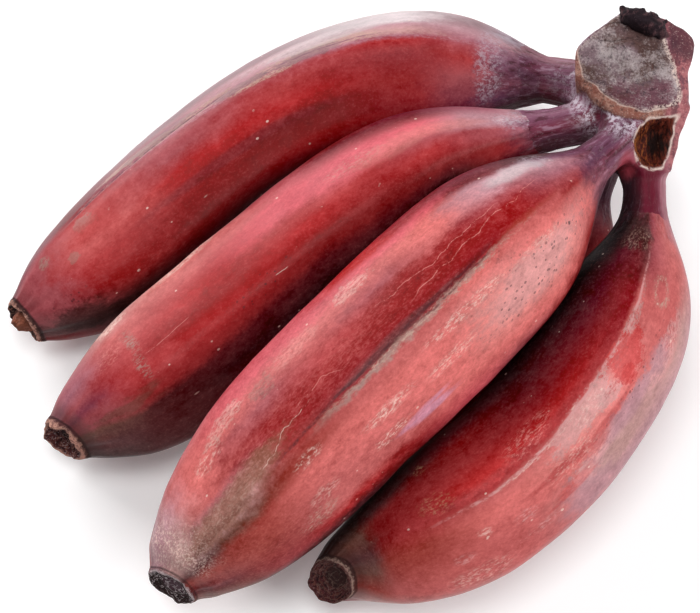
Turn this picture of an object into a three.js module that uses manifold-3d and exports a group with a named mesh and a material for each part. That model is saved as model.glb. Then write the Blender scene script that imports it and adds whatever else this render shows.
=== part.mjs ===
// A cluster of five red bananas on one piece of crown, lying on a table with its hollow side down.
// Millimetres, +Z up, +X along the longest side; the origin is on the table, under the middle of the box.

import * as THREE from 'three';
import { mergeVertices } from 'three/addons/utils/BufferGeometryUtils.js';
import Module from 'manifold-3d';

const wasm = await Module();
wasm.setup();

// Sizes shared by all the bananas.
const seamGap = 0.3;             // between a banana's stem and the crown's socket
const ringCount = 34;            // rings along a banana
const sideCount = 24;            // sides around a banana
const ridgeCount = 5;            // a banana's section has five blunt ridges
const ridgePower = 8;            // higher makes the ridges sharper
const ridgeBlend = 0.6;          // 0 is a round section, 1 the full ridged one
const ridgeMean = 1.05;          // mean size of the ridged section
const scarShare = 0.76;          // the blossom scar's radius, as a share of the tip's
const scarProud = 1.8;           // how far the scar stands past the end of the spine
const scarDepth = 1.2;           // how deep the scar is dished
const socketFlare = 4.6;         // how much wider a socket is where it leaves the crown
const socketSides = 20;
const socketRings = 6;

// Each banana: its spine from crown to tip, then its radii at the stem, belly and tip, and the shares
// of its length where the socket ends, the neck ends, it is full, and it starts to wane. swell and taper
// shape the two ends. roll and twist, in degrees, turn the ridges to the right of straight up.
const bananas = {
  banana_1: {
    spine: [[72.3, 63.5, 33.1], [33.3, 78, 20.1], [3.8, 80.5, 20.1], [-21.7, 65.5, 24.1],
      [-44.7, 38.5, 23.6], [-66.7, 12, 17.6], [-92.7, -3.5, 14.6]],
    stem: 5.3, belly: 19.2, tip: 7.7,
    socket: 0.075, neck: 0.044, full: 0.47, wane: 0.618, swell: 4.1, taper: 4.2,
    roll: 10, twist: 35, colour: '#8e2f35',
  },
  banana_2: {
    spine: [[75.3, 50.5, 37.1], [42.3, 47, 30.1], [22.3, 43.5, 32.6], [3.3, 25, 32.1],
      [-25.2, -1.5, 26.1], [-54.2, -25.5, 17.6], [-78.7, -40, 15.6]],
    stem: 5.4, belly: 20.2, tip: 8.3,
    socket: 0.085, neck: 0.068, full: 0.592, wane: 0.747, swell: 3.2, taper: 2.35,
    roll: -20, twist: 0, colour: '#8f2e34',
  },
  banana_3: {
    spine: [[82.3, 45, 40.1], [59.3, 23, 46.6], [37.8, -1.5, 52.1], [15.8, -24, 53.6],
      [-6.7, -42, 46.6], [-26.2, -61.5, 32.1], [-46.2, -86, 25.6]],
    stem: 5.2, belly: 23.6, tip: 8.4,
    socket: 0.07, neck: 0.068, full: 0.578, wane: 0.654, swell: 4.05, taper: 2.6,
    roll: -21, twist: -8, colour: '#a23c43',
  },
  banana_4: {
    spine: [[84.8, 38.5, 34.1], [89.3, 2, 29.1], [71.8, -32, 26.1], [47.8, -60.5, 23.6],
      [26.3, -72.5, 19.6], [6.3, -71.5, 15.6], [-3.7, -81.5, 17.6]],
    stem: 5.7, belly: 20.6, tip: 8.7,
    socket: 0.06, neck: 0.065, full: 0.558, wane: 0.704, swell: 3.4, taper: 2,
    roll: -4, twist: -8, colour: '#a8454a',
  },
  banana_5: {
    spine: [[75.3, 46.5, 26.1], [71.8, 27.5, 12.6], [63.8, 17.5, 10.6], [51.8, 8, 13.1],
      [39.3, -9, 14.1], [23.3, -31.5, 12.6], [2.3, -50.5, 9.1]],
    stem: 5.4, belly: 12.7, tip: 5.5,
    socket: 0.06, neck: 0.094, full: 0.337, wane: 0.488, swell: 4.2, taper: 2.05,
    roll: 0, twist: 0, colour: '#7c2830',
  },
};

// The crown: a block whose top is the dished cut where it left the plant's stalk.
const crownAt = [80.3, 58.5, 50.1]; // middle of the cut face
const crownTilt = -14.5;            // the cut face leans towards -Y by this many degrees
const crownColour = '#6d5560';
const crownSides = 40;
const dishDepth = 2.6;
// Levels from the cut face down: height, then the reach to +X, then every 45 degrees anticlockwise.
const crownLevels = [
  [0, [13.6, 13.4, 14, 13.8, 13.6, 11.6, 13.2, 17.6]],
  [-1.6, [15.6, 17, 15, 14.4, 14.4, 12.6, 13.8, 18]],
  [-5, [17, 19.6, 16.2, 13.6, 14, 14, 16, 19.5]],
  [-11, [16.2, 17.6, 15, 12.6, 14, 16, 19, 20]],
  [-18, [14, 14, 13, 12, 13.6, 16, 18.5, 18.5]],
  [-26, [8, 8, 8, 8, 9.6, 11.6, 12.6, 11.6]],
];
const crownCore = [80.3, 56.5, 35.1]; // the sockets start from here, inside the block

// The dry black remnant on the cut face's far edge, and the stub where a sixth banana was torn off.
const remnantAt = [84.8, 71, 53.3];
const remnantRadii = [6.6, 5, 4.2];
const stubAt = [87.3, 38.5, 42.6]; // middle of the torn mouth
const stubAim = [0.16, -0.42, 0.89];
const stubProfile = [[0, -15], [5, -15], [6, -9], [6.9, -3], [7.1, -0.5], [6.7, 0.4], [6, 0.2], [5.3, -1.4],
  [3.6, -3.2], [0, -3.8]];

// A Bezier curve of any degree through de Casteljau's steps.
class Spine extends THREE.Curve {
  constructor(points) {
    super();
    this.points = points.map((point) => new THREE.Vector3(...point));
  }

  getPoint(share, target = new THREE.Vector3()) {
    let row = this.points;
    while (row.length > 1) {
      row = row.slice(1).map((point, index) => row[index].clone().lerp(point, share));
    }
    return target.copy(row[0]);
  }
}

// The curve's point, tangent, upward and right-hand directions at a distance from its start.
function stationAt(curve, distance) {
  const length = curve.getLength();
  const share = THREE.MathUtils.clamp(distance / length, 0, 1);
  const forward = curve.getTangentAt(share);
  const point = curve.getPointAt(share).addScaledVector(forward, distance - share * length);
  const up = new THREE.Vector3(0, 0, 1);
  up.addScaledVector(forward, -up.dot(forward)).normalize();
  const right = new THREE.Vector3().crossVectors(forward, up);
  return { point, forward, up, right };
}

// Radius at a share of the length: stem, plus an eased swell to the belly, less a power-law taper.
function girth(banana, share) {
  const swell = 1 - (1 - THREE.MathUtils.smoothstep(share, banana.neck, banana.full)) ** banana.swell;
  const fall = Math.max(0, (share - banana.wane) / (1 - banana.wane)) ** banana.taper;
  return banana.stem + (banana.belly - banana.stem) * swell - (banana.belly - banana.tip) * fall;
}

// Section size at an angle: one over the power mean of the face normals' cosines, blended with a circle.
function ridged(angle, roll) {
  let sum = 0;
  for (let face = 0; face < ridgeCount; face += 1) {
    const normal = roll + ((face + 0.5) / ridgeCount) * 2 * Math.PI;
    sum += Math.max(0, Math.cos(angle - normal)) ** ridgePower;
  }
  return 1 + ridgeBlend * (sum ** (-1 / ridgePower) / ridgeMean - 1);
}

// Bends a lathed shape along a curve; size(angle, share) scales each point away from the curve.
function bendAlong(curve, profile, sides, size) {
  const geometry = new THREE.LatheGeometry(profile, sides);
  const position = geometry.attributes.position;
  const length = curve.getLength();
  const stations = profile.map((point) => stationAt(curve, point.y));
  for (let index = 0; index < position.count; index += 1) {
    const x = position.getX(index);
    const z = position.getZ(index);
    const reach = Math.hypot(x, z);
    const angle = Math.atan2(x, z);
    const scaled = reach * size(angle, position.getY(index) / length);
    const { point, up, right } = stations[index % profile.length];
    const moved = point.clone()
      .addScaledVector(up, scaled * Math.cos(angle))
      .addScaledVector(right, scaled * Math.sin(angle));
    position.setXYZ(index, moved.x, moved.y, moved.z);
  }
  return geometry;
}

// Turns a closed geometry into a manifold solid, leaving out triangles that have shrunk to a line.
function toSolid(geometry) {
  const bare = geometry.clone();
  bare.deleteAttribute('normal');
  bare.deleteAttribute('uv');
  const merged = mergeVertices(bare, 1e-3);
  const corners = [];
  for (let index = 0; index < merged.index.count; index += 3) {
    const [a, b, c] = [0, 1, 2].map((step) => merged.index.getX(index + step));
    if (a !== b && b !== c && c !== a) {
      corners.push(a, b, c);
    }
  }
  const vertProperties = Float32Array.from(merged.attributes.position.array);
  const triVerts = Uint32Array.from(corners);
  return new wasm.Manifold(new wasm.Mesh({ numProp: 3, vertProperties, triVerts }));
}

// A named mesh from a solid.
function meshOf(name, solid, colour, roughness) {
  const { vertProperties, triVerts } = solid.getMesh();
  const geometry = new THREE.BufferGeometry();
  geometry.setAttribute('position', new THREE.BufferAttribute(Float32Array.from(vertProperties), 3));
  geometry.setIndex(new THREE.BufferAttribute(Uint32Array.from(triVerts), 1));
  geometry.computeVertexNormals();
  const material = new THREE.MeshStandardMaterial({ color: colour, roughness, metalness: 0 });
  const mesh = new THREE.Mesh(geometry, material);
  mesh.name = name;
  return mesh;
}

// Eased shares from the socket to the tip: rings crowd together at the neck and at the tip.
function bananaProfile(banana, length) {
  const start = banana.socket * length + seamGap;
  const profile = [new THREE.Vector2(0, start)];
  for (let ring = 0; ring <= ringCount; ring += 1) {
    const even = ring / ringCount;
    const eased = even - (0.7 / (2 * Math.PI)) * Math.sin(2 * Math.PI * even);
    const along = start + eased * (length - start);
    profile.push(new THREE.Vector2(girth(banana, along / length), along));
  }
  const scar = banana.tip * scarShare;
  profile.push(new THREE.Vector2((banana.tip + scar) / 2, length + scarProud * 0.6));
  profile.push(new THREE.Vector2(scar, length + scarProud));
  profile.push(new THREE.Vector2(scar * 0.75, length + scarProud - scarDepth * 0.7));
  profile.push(new THREE.Vector2(0, length + scarProud - scarDepth));
  return profile;
}

// One banana, from the end of its socket to its blossom scar.
function bananaMesh(name, banana) {
  const curve = new Spine(banana.spine);
  const profile = bananaProfile(banana, curve.getLength());
  const roll = THREE.MathUtils.degToRad(banana.roll);
  const twist = THREE.MathUtils.degToRad(banana.twist);
  const size = (angle, share) => ridged(angle, roll + twist * (share - 0.5));
  const solid = toSolid(bendAlong(curve, profile, sideCount, size));
  return meshOf(name, solid, banana.colour, 0.5);
}

// The crown's socket for one banana: a tube that widens back into the block.
function socketSolid(banana) {
  const spine = new Spine(banana.spine);
  const end = banana.socket * spine.getLength();
  const { point: mouth, forward } = stationAt(spine, end);
  const behind = mouth.clone().addScaledVector(forward, -end);
  const core = new THREE.Vector3(...crownCore);
  const curve = new THREE.QuadraticBezierCurve3(core, behind, mouth);
  const length = curve.getLength();
  const profile = [new THREE.Vector2(0, 0)];
  for (let ring = 0; ring <= socketRings; ring += 1) {
    const share = ring / socketRings;
    const wider = socketFlare * (1 - share) ** 1.6;
    profile.push(new THREE.Vector2(girth(banana, banana.socket) + wider, share * length));
  }
  profile.push(new THREE.Vector2(0, length));
  return toSolid(bendAlong(curve, profile, socketSides, () => 1));
}

// Reach at an angle, eased between a level's eight given reaches.
function reachAt(reaches, angle) {
  const place = (angle / (2 * Math.PI) + 1) * reaches.length;
  const low = Math.floor(place);
  const ease = THREE.MathUtils.smoothstep(place - low, 0, 1);
  return THREE.MathUtils.lerp(reaches[low % reaches.length], reaches[(low + 1) % reaches.length], ease);
}

// The crown's block: a lathe whose rings take the outline of each level, dished at the top.
function blockSolid() {
  const bottom = crownLevels[crownLevels.length - 1];
  const rings = [[0, bottom[0], bottom[1]]];
  for (const [height, reaches] of [...crownLevels].reverse()) {
    rings.push([1, height, reaches]);
  }
  const face = crownLevels[0][1];
  rings.push([0.8, -dishDepth * 0.3, face]);
  rings.push([0.45, -dishDepth * 0.85, face]);
  rings.push([0, -dishDepth, face]);
  const profile = rings.map(([share, height]) => new THREE.Vector2(share, height));
  const geometry = new THREE.LatheGeometry(profile, crownSides);
  const position = geometry.attributes.position;
  for (let index = 0; index < position.count; index += 1) {
    const angle = Math.atan2(-position.getZ(index), position.getX(index));
    const reach = reachAt(rings[index % rings.length][2], angle);
    position.setX(index, position.getX(index) * reach);
    position.setZ(index, position.getZ(index) * reach);
  }
  geometry.rotateX(Math.PI / 2);
  geometry.rotateX(THREE.MathUtils.degToRad(-crownTilt));
  geometry.translate(...crownAt);
  return toSolid(geometry);
}

// The black remnant: a flattened ball sunk into the far edge of the cut.
function remnantSolid() {
  const geometry = new THREE.IcosahedronGeometry(1, 3);
  geometry.scale(...remnantRadii);
  geometry.translate(...remnantAt);
  return toSolid(geometry);
}

// The torn stub: a short cup that looks up and towards -Y.
function stubSolid() {
  const profile = stubProfile.map(([radius, along]) => new THREE.Vector2(radius, along));
  const geometry = new THREE.LatheGeometry(profile, socketSides);
  const aim = new THREE.Vector3(...stubAim).normalize();
  geometry.applyQuaternion(new THREE.Quaternion().setFromUnitVectors(new THREE.Vector3(0, 1, 0), aim));
  geometry.translate(...stubAt);
  return toSolid(geometry);
}

// The crown is one piece: block, sockets, remnant and stub.
function crownMesh() {
  let solid = blockSolid();
  for (const banana of Object.values(bananas)) {
    solid = solid.add(socketSolid(banana));
  }
  solid = solid.add(remnantSolid());
  solid = solid.add(stubSolid());
  return meshOf('crown', solid, crownColour, 0.8);
}

const cluster = new THREE.Group();
cluster.add(crownMesh());
for (const [name, banana] of Object.entries(bananas)) {
  cluster.add(bananaMesh(name, banana));
}

export default cluster;
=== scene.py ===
import math
import time

import bpy
import numpy as np
import openvdb
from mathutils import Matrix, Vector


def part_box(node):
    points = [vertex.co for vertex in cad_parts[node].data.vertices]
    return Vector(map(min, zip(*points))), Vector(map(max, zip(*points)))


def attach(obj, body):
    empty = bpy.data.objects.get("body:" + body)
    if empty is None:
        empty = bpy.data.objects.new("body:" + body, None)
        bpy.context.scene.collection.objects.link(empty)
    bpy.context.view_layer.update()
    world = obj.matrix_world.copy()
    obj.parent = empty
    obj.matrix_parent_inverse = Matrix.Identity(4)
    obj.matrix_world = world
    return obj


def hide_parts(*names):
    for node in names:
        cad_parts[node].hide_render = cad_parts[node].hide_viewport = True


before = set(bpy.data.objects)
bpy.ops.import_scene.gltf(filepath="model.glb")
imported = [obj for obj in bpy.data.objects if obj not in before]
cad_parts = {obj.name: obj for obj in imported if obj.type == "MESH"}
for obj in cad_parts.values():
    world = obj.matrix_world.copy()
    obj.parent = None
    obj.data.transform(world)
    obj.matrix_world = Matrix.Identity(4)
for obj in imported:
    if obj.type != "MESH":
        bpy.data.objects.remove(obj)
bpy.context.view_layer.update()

mm = 0.001  # every shape below is worked out in millimetres and stored in metres
begun = time.time()


# Goes from 0 at low to 1 at high with a flat start and end: t squared times three minus two t.
def ease(low, high, value):
    t = np.clip((value - low) / (high - low), 0, 1)
    return t * t * (3 - 2 * t)


# Smooth random values from 0 to 1: each corner of a lattice that repeats after so many cells gets a fixed
# random number, and a point takes the eased mix of its cell's eight corners.
def cloud(points, size, seed, cells=32):
    table = np.random.default_rng(seed).random((cells, cells, cells), dtype=np.float32).ravel()
    place = np.asarray(points, np.float32) / np.float32(size)
    cell = np.floor(place)
    t = place - cell
    t = t * t * (3 - 2 * t)
    low = cell.astype(np.int32) % cells
    high = (low + 1) % cells
    x, y, z = ((low[..., axis] * step, high[..., axis] * step)
               for axis, step in enumerate((cells * cells, cells, 1)))
    rows = []
    for i in (0, 1):
        flat = [table[x[i] + y[j] + z[0]] * (1 - t[..., 2]) + table[x[i] + y[j] + z[1]] * t[..., 2]
                for j in (0, 1)]
        rows.append(flat[0] * (1 - t[..., 1]) + flat[1] * t[..., 1])
    return rows[0] * (1 - t[..., 0]) + rows[1] * t[..., 0]


# Rough random values around 0: each layer is half as big and half as strong as the one before.
def rough(points, size, seed, layers=3):
    total = 0
    for layer in range(layers):
        total = total + (cloud(points, size / 2 ** layer, seed + layer) - 0.5) / 2 ** layer
    return total


# The smaller of two distances, with the crease between them filled to a fillet of about that width.
def joined(first, second, width):
    blend = np.clip(0.5 + 0.5 * (second - first) / width, 0, 1)
    return second + (first - second) * blend - width * blend * (1 - blend)


# The larger of two distances, with the edge between them rounded by about that width.
def trimmed(first, second, width):
    return -joined(-first, -second, width)


# Smooth periodic reading of values given at even angles: between two of them goes an eased mix.
def readRound(values, angle):
    values = np.asarray(values, float)
    place = (angle / (2 * np.pi)) % 1 * len(values)
    low = np.floor(place).astype(int) % len(values)
    t = place - np.floor(place)
    t = t * t * (3 - 2 * t)
    return values[low] * (1 - t) + values[(low + 1) % len(values)] * t


# Each banana's spine is a Bezier curve from the crown to the blossom end, in millimetres. Then come its
# radii, shares of the length (where the crown's socket ends, the neck starts to swell, the belly is full
# and begins to wane), powers of the swell and the taper, and the turn of the main ridge in degrees.
bananas = {
    "banana_1": {
        "spine": [(72.3, 63.5, 33.1), (33.3, 78, 20.1), (3.8, 80.5, 20.1), (-21.7, 65.5, 24.1),
                  (-44.7, 38.5, 23.6), (-66.7, 12, 17.6), (-92.7, -3.5, 14.6)],
        "stem": 5.3, "belly": 19.2, "tip": 8,
        "socket": 0.075, "neck": 0.044, "full": 0.47, "wane": 0.618, "swell": 4.1, "taper": 4.2,
        "roll": 10, "twist": 35, "creases": [(0.71, 11, -22, 0.18, 2.4, 0.6)],
    },
    "banana_2": {
        "spine": [(75.3, 50.5, 37.1), (42.3, 47, 30.1), (22.3, 43.5, 32.6), (3.3, 25, 32.1),
                  (-25.2, -1.5, 26.1), (-54.2, -25.5, 17.6), (-78.7, -40, 15.6)],
        "stem": 5.4, "belly": 20.2, "tip": 8.3,
        "socket": 0.085, "neck": 0.068, "full": 0.592, "wane": 0.747, "swell": 3.2, "taper": 2.35,
        "roll": -20, "twist": 0,
    },
    "banana_3": {
        "spine": [(82.3, 45, 40.1), (59.3, 23, 46.6), (37.8, -1.5, 52.1), (15.8, -24, 53.6),
                  (-6.7, -42, 46.6), (-26.2, -61.5, 32.1), (-47.4, -86.6, 25.6)],
        "stem": 5.2, "belly": 23.6, "tip": 8.6,
        "socket": 0.07, "neck": 0.068, "full": 0.578, "wane": 0.654, "swell": 4.05, "taper": 2.6,
        "roll": -21, "twist": -8, "creases": [(0.55, 7, -6, 0.26, 2.2, 0.45)],
    },
    "banana_4": {
        "spine": [(84.8, 38.5, 34.1), (89.3, 2, 29.1), (71.8, -32, 26.1), (47.8, -60.5, 23.6),
                  (26.3, -72.5, 19.6), (6.3, -71.5, 15.6), (-3.7, -81.5, 17.6)],
        "stem": 5.7, "belly": 20.6, "tip": 7.2,
        "socket": 0.06, "neck": 0.065, "full": 0.558, "wane": 0.704, "swell": 3.4, "taper": 2,
        "roll": -4, "twist": -8,
    },
    "banana_5": {
        "spine": [(75.3, 46.5, 26.1), (71.8, 27.5, 12.6), (63.8, 17.5, 10.6), (51.8, 8, 13.1),
                  (39.3, -9, 14.1), (23.3, -31.5, 12.6), (2.3, -50.5, 9.1)],
        "stem": 5.4, "belly": 12.7, "tip": 5.5,
        "socket": 0.06, "neck": 0.094, "full": 0.337, "wane": 0.488, "swell": 4.2, "taper": 2.05,
        "roll": 0, "twist": 0,
    },
}


# Rows of three numbers, one at each place, read straight between the places.
def between(where, places, rows):
    return np.stack([np.interp(where, places, rows[:, axis]) for axis in range(3)], axis=-1)


# A Bezier spine as even steps of its length: each control point is weighted by its Bernstein share,
# and the points are then read back at equal distances. up leans least from +Z, right is forward x up.
def layOut(points, steps=600):
    points = np.array(points, float)
    top = len(points) - 1
    t = np.linspace(0, 1, steps * 4)[:, None]
    path = sum(math.comb(top, k) * t ** k * (1 - t) ** (top - k) * points[k] for k in range(top + 1))
    walked = np.r_[0, np.cumsum(np.linalg.norm(np.diff(path, axis=0), axis=1))]
    even = np.linspace(0, walked[-1], steps)
    path = between(even, walked, path)
    forward = np.gradient(path, even, axis=0, edge_order=2)
    forward /= np.linalg.norm(forward, axis=1)[:, None]
    up = np.array([0, 0, 1.0]) - forward * forward[:, 2:3]
    up /= np.linalg.norm(up, axis=1)[:, None]
    return {"length": walked[-1], "at": even, "path": path, "forward": forward, "up": up,
            "right": np.cross(forward, up)}


# The spine's point and directions at given distances, running straight on past either end.
def stationAt(spine, distance):
    inside = np.clip(distance, 0, spine["length"])
    path, forward, up, right = (between(inside, spine["at"], spine[name])
                                for name in ("path", "forward", "up", "right"))
    return path + forward * (distance - inside)[..., None], forward, up, right


# Radius at a share of the length: stem, plus an eased swell to the belly, less a power-law taper.
def girth(banana, share):
    swell = 1 - (1 - ease(banana["neck"], banana["full"], share)) ** banana["swell"]
    fall = np.clip((share - banana["wane"]) / (1 - banana["wane"]), 0, None) ** banana["taper"]
    stem, belly, tip = banana["stem"], banana["belly"], banana["tip"]
    return stem + (belly - stem) * swell - (belly - tip) * fall


for order, banana in enumerate(bananas.values()):
    banana["line"] = layOut(banana["spine"])
    banana["seed"] = 100 * order
print("spines laid out,", ", ".join(f"{name} {b['line']['length']:.0f} mm" for name, b in bananas.items()))


# Puts points in millimetres, faces with their corner counts and named attributes into a new object at
# the origin, with smooth faces.
def makePiece(name, points, faces, marks):
    corners = np.concatenate([part.ravel() for part in faces]).astype(np.int32)
    sizes = np.concatenate([np.full(len(part), part.shape[1]) for part in faces])
    mesh = bpy.data.meshes.new(name)
    mesh.vertices.add(len(points))
    mesh.vertices.foreach_set("co", np.asarray(points * mm, np.float32).ravel())
    mesh.loops.add(len(corners))
    mesh.loops.foreach_set("vertex_index", corners)
    mesh.polygons.add(len(sizes))
    mesh.polygons.foreach_set("loop_start", np.r_[0, np.cumsum(sizes)[:-1]].astype(np.int32))
    mesh.polygons.foreach_set("use_smooth", np.ones(len(sizes), bool))
    for mark, values in marks.items():
        wide = np.ndim(values) == 2
        layer = mesh.attributes.new(mark, "FLOAT_VECTOR" if wide else "FLOAT", "POINT")
        layer.data.foreach_set("vector" if wide else "value", np.asarray(values, np.float32).ravel())
    mesh.update(calc_edges=True)
    mesh.validate()
    piece = bpy.data.objects.new(name, mesh)
    bpy.context.scene.collection.objects.link(piece)
    return piece


# Quads of a tube grid of rows by columns that closes around, and a fan to a pole point at each end.
def tubeFaces(rows, columns):
    row, column = np.meshgrid(np.arange(rows - 1), np.arange(columns), indexing="ij")
    here = row * columns + column
    beside = row * columns + (column + 1) % columns
    quads = np.stack([here, here + columns, beside + columns, beside], axis=-1).reshape(-1, 4)
    around = np.arange(columns)
    after = (around + 1) % columns
    first, last = rows * columns, rows * columns + 1
    start = np.stack([np.full(columns, first), around, after], axis=1)
    end = (rows - 1) * columns
    finish = np.stack([np.full(columns, last), end + after, end + around], axis=1)
    return quads, np.concatenate([start, finish])


# The peels' grid (the share of the socket where they start, how much closer rings stand near both ends),
# their section (how many ridges, how sharp, how strong, its mean size), how far the ridges wander (radians,
# millimetres apart), their unevenness (how high in millimetres, how wide), the lengths over which the end
# rounds off and leans, and their height above the floor where they lie on it.
peelGrid = {
    "rows": 320, "columns": 180, "scarRows": 64, "ridges": 5, "sharpness": 9, "ridged": 0.68, "mean": 1.05,
    "wander": (0.1, 26), "swell": (0.8, 30), "dimples": (0.22, 8), "fibres": (0.75, 2.6),
    "puckers": (0.8, 3.2), "start": 0.45, "closer": 0.7, "roundOff": 6, "leaning": 24, "floorGap": 0.05,
}

# The blossom end from the peel to the middle: share of the tip's radius, distance past the spine's end,
# share of the rim's height, share of the plug's height, place across the scar.
blossom = [(1, 0, 0, 0, 0), (0.985, 0.5, 0, 0, 0.02), (0.955, 0.9, 0.1, 0, 0.06), (0.93, 1.1, 0.45, 0, 0.1),
           (0.9, 1.2, 0.85, 0, 0.16), (0.86, 1.2, 1, 0, 0.22), (0.81, 1.1, 0.95, 0, 0.28),
           (0.76, 0.9, 0.5, 0, 0.36), (0.7, 0.6, 0, 0, 0.44), (0.62, 0.4, -0.1, 0.12, 0.52),
           (0.5, 0.3, 0, 0.45, 0.62), (0.36, 0.2, 0, 0.8, 0.74), (0.2, 0.1, 0, 1, 0.86),
           (0.08, 0, 0, 0.92, 0.95), (0.015, 0, 0, 0.85, 1)]
# For each banana: heights of the rim and plug, how ragged they are, how far the end is cut back and how
# far slantwise, with the side that stands highest (degrees from the top), how torn that side is, how much
# narrower the peel rounds off in its last few millimetres, and how slender the plug is.
blossoms = {
    "banana_1": {"rim": 0.9, "plug": 4.6, "ragged": 1.3, "back": 2.2, "slant": 1.6, "high": 115, "torn": 1.4,
                 "round": 0.03, "slender": 2.6},
    "banana_2": {"rim": 1.2, "plug": -1.2, "ragged": 1.6, "back": 1.7, "slant": 3.2, "high": 120, "torn": 0.9,
                 "round": 0.06, "slender": 1},
    "banana_3": {"rim": 0.5, "plug": 0.3, "ragged": 0.8, "back": 2.6, "slant": 2.9, "high": 150, "torn": 0.3,
                 "round": 0.14, "slender": 1},
    "banana_4": {"rim": 0.8, "plug": -0.7, "ragged": 0.8, "back": 1.4, "slant": 3.9, "high": 165, "torn": 0.3,
                 "round": 0.05, "slender": 1},
    "banana_5": {"rim": 0.8, "plug": 0.4, "ragged": 0.9, "back": 0, "slant": 0, "high": 0, "torn": 0.4,
                 "round": 0.05, "slender": 1},
}


# Section size at an angle from the main ridge: one over the power mean of the face normals' cosines,
# mixed with a circle.
def ridged(side):
    total = 0
    for face in range(peelGrid["ridges"]):
        normal = (face + 0.5) / peelGrid["ridges"] * 2 * np.pi
        total = total + np.clip(np.cos(side - normal), 0, None) ** peelGrid["sharpness"]
    return 1 + peelGrid["ridged"] * (total ** (-1 / peelGrid["sharpness"]) / peelGrid["mean"] - 1)


# Distance from the spine to the peel: girth times the ridged section whose ridges wander a little, plus
# slow swells everywhere, fibres on the stem, puckers towards the blossom end and a few creases. Gives the
# angle from the main ridge and the place on the unrolled banana too.
def peelReach(banana, around, far):
    seed = banana["seed"]
    share = np.clip(far / banana["line"]["length"], 0, 1)
    wide = girth(banana, share)
    straight = np.stack([np.sin(around) * wide, np.cos(around) * wide, far], axis=-1)
    unit = np.stack([np.sin(around) * 10, np.cos(around) * 10, far * 0.18], axis=-1)
    roll = math.radians(banana["roll"]) + math.radians(banana["twist"]) * (share - 0.5)
    wander, apart = peelGrid["wander"]
    side = around - roll + wander * rough(straight * (0.3, 0.3, 1), apart, seed, 2)
    # the ridges are soft on the neck and again towards the blossom end
    firm = (0.45 + 0.55 * ease(0.05, 0.2, share)) * (1 - 0.35 * ease(0.86, 1, share))
    size = 1 + (ridged(side) - 1) * firm
    dip = 0
    for middle, degrees, slope, long, thin, deep in banana.get("creases", ()):
        off = (np.degrees(side) - degrees - slope * (share - middle) + 180) % 360 - 180
        dip = dip + deep * np.exp(-(off / thin) ** 2) * ease(long, long * 0.6, np.abs(share - middle))

    def bumps(name, place, shift):
        high, broad = peelGrid[name]
        return high * rough(place, broad, seed + shift, 2)

    swell = bumps("swell", straight, 5) + bumps("dimples", straight, 9)
    fibres = bumps("fibres", unit, 12) * (1 - ease(0.08, 0.22, share))
    puckers = bumps("puckers", unit * (1.4, 1.4, 1), 15) * ease(0.9, 1, share)
    return wide * size - dip + (swell + fibres + puckers) * np.minimum(wide / 8, 1), side, straight


# One peel: rings along the spine at the peel's reach, closer near both ends, then the scar's rings in to
# its middle, which follow the blossom profile, stand up raggedly and lean with the slanting cut. Where
# the peel would go into the floor it lies flat on it.
def makePeel(banana, look):
    line = banana["line"]
    length = line["length"]
    seed = banana["seed"]
    start = banana["socket"] * length * peelGrid["start"]
    even = np.linspace(0, 1, peelGrid["rows"])
    body = start + (even - peelGrid["closer"] / (2 * np.pi) * np.sin(2 * np.pi * even)) * (length - start)
    spot = np.linspace(0, len(blossom) - 1, peelGrid["scarRows"] + 1)[1:]
    scale, past, rim, plug, place = (np.interp(spot, range(len(blossom)), column) for column in zip(*blossom))
    none = np.zeros(len(body))
    past = past + rim * look["rim"] + plug ** look["slender"] * look["plug"]
    distance = np.r_[body, np.full(len(past), length)]
    angle = np.linspace(0, 2 * np.pi, peelGrid["columns"], endpoint=False)
    around, far = np.meshgrid(angle, distance, indexing="xy")
    scar = np.repeat(np.r_[none, place][:, None], len(angle), axis=1)
    reach, side, straight = peelReach(banana, around, far)
    inward = np.r_[np.ones(len(body)), scale][:, None]
    reach = reach * inward * (1 - look["round"] * ease(length - peelGrid["roundOff"], length, far) ** 2)
    spread = np.stack([np.sin(around) * reach, np.cos(around) * reach, scar * 6], axis=-1)
    edge = ease(0.03, 0.2, scar) * (1 - ease(0.35, 0.6, scar))
    jagged = rough(spread, 3.4, seed + 20) * edge * 1.6
    jagged = jagged + rough(spread, 2.2, seed + 23) * ease(0.35, 0.5, scar)
    facing = np.clip(np.cos(around - math.radians(look["high"])), 0, 1) ** 3
    torn = look["torn"] * facing * ease(0.06, 0.2, scar) * (1 - ease(0.3, 0.42, scar)) * (
        0.6 + 1.6 * rough(spread, 2.6, seed + 26, 2))
    leaning = look["slant"] * np.cos(around - math.radians(look["high"])) * inward - look["back"]
    leaning = leaning * ease(length - peelGrid["leaning"], length, far)
    lift = np.r_[none, past][:, None] + jagged * look["ragged"] + torn + leaning
    point, forward, up, right = stationAt(line, distance)
    points = (point[:, None] + up[:, None] * (reach * np.cos(around))[..., None]
              + right[:, None] * (reach * np.sin(around))[..., None] + forward[:, None] * lift[..., None])
    points[..., 2] = np.maximum(points[..., 2], peelGrid["floorGap"])
    quads, caps = tubeFaces(len(distance), len(angle))
    ends = np.stack([points[0].mean(0), points[-1].mean(0)])
    share = np.clip(far / length, 0, 1)
    rose = np.stack([np.sin(side), np.cos(side), share], axis=-1).reshape(-1, 3)
    middle = [[0, 0, distance[0]], [0, 0, length]]
    marks = {
        "straight": (np.concatenate([straight.reshape(-1, 3), middle]) + (seed, 0, 0)) / 10,
        "rose": np.concatenate([rose, [[0, 1, share[0, 0]], [0, 1, 1]]]),
        "scar": np.r_[scar.ravel(), 0, 1],
        "across": np.concatenate([spread.reshape(-1, 3), [[0, 0, 0], [0, 0, 6]]]) * (0.1, 0.1, 0.25),
    }
    return np.concatenate([points.reshape(-1, 3), ends]), (quads, caps), marks


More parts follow.
